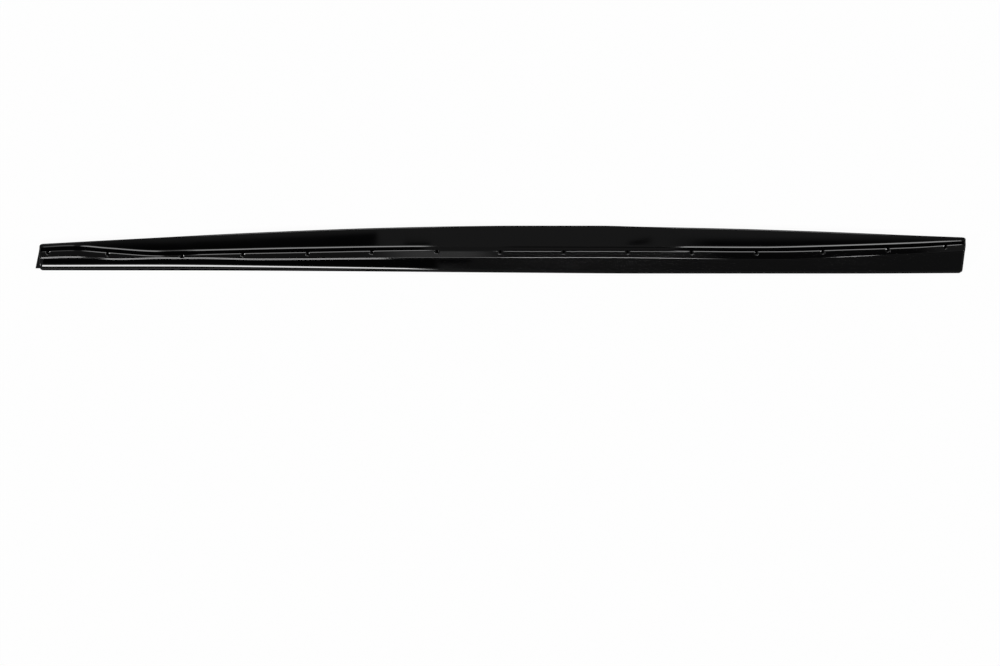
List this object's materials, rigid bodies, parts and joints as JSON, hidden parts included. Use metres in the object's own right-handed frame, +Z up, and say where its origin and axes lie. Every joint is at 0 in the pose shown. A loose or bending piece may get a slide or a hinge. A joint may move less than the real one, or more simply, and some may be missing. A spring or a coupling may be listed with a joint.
{
  "type": "car side skirt",
  "caption": "Long slim car side skirt formed from one gloss black sheet, with a raised screw land along it, rolled-down edges and countersunk screw holes.",
  "frame": {"origin": "bottom centre of the bounding box, on the plane of the rolled-down rim", "axes": "+X along the sill towards the wide rounded end, +Y outboard towards the curved edge, +Z up through the screw land"},
  "size_m": [1.9, 0.098, 0.0185],
  "materials": {
    "skirt_plastic": "high gloss black, as formed"
  },
  "bodies": {
    "root": {"side_skirt": "skirt_plastic"}
  },
  "joints": []
}
